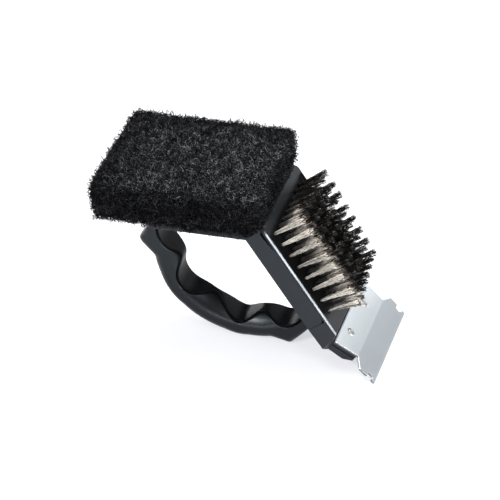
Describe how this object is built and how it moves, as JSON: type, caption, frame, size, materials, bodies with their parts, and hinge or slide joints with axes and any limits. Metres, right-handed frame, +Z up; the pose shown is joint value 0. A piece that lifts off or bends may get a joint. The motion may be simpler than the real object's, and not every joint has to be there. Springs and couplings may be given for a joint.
{
  "type": "grill cleaning brush",
  "caption": "Grill cleaning brush: V-shaped black body with a scouring pad, a sloping face of wire tufts, a notched steel scraper and a looped handle with finger scoops.",
  "frame": {"origin": "middle of the object's box in plan, at the level of the surface that the scraper's edge and the handle's heel stand on", "axes": "+X from the scouring pad's free end to the scraper's edge, +Y across the brush, +Z up out of the pad's working face"},
  "size_m": [0.1722, 0.091, 0.1142],
  "materials": {
    "frame_plastic": "satin moulded black, fine texture",
    "head_plastic": "satin moulded black with a bright polished rim edge",
    "handle_plastic": "satin moulded black",
    "grip_plastic": "soft dull black",
    "blade_steel": "satin stamped sheet",
    "rivet_steel": "plain, slightly dull",
    "screw_steel": "zinc plated",
    "wire_steel": "crimped wire, darkened towards the tips",
    "pad_fibre": "black abrasive non-woven fibre",
    "adhesive": "hot-melt glue layer"
  },
  "bodies": {
    "root": {"frame": "frame_plastic", "brush_head": "head_plastic", "tuft_row_1": "wire_steel", "tuft_row_2": "wire_steel", "tuft_row_3": "wire_steel", "tuft_row_4": "wire_steel", "tuft_row_5": "wire_steel", "tuft_row_6": "wire_steel", "tuft_row_7": "wire_steel", "tuft_row_8": "wire_steel", "tuft_staples": "wire_steel", "scraper_blade": "blade_steel", "scraper_rivets": "rivet_steel", "rivet_washers": "rivet_steel", "scouring_pad": "pad_fibre", "pad_adhesive": "adhesive", "handle_shell": "handle_plastic", "handle_grip": "grip_plastic", "handle_top_screws": "screw_steel", "handle_end_screws": "screw_steel", "head_screws": "screw_steel"}
  },
  "joints": []
}
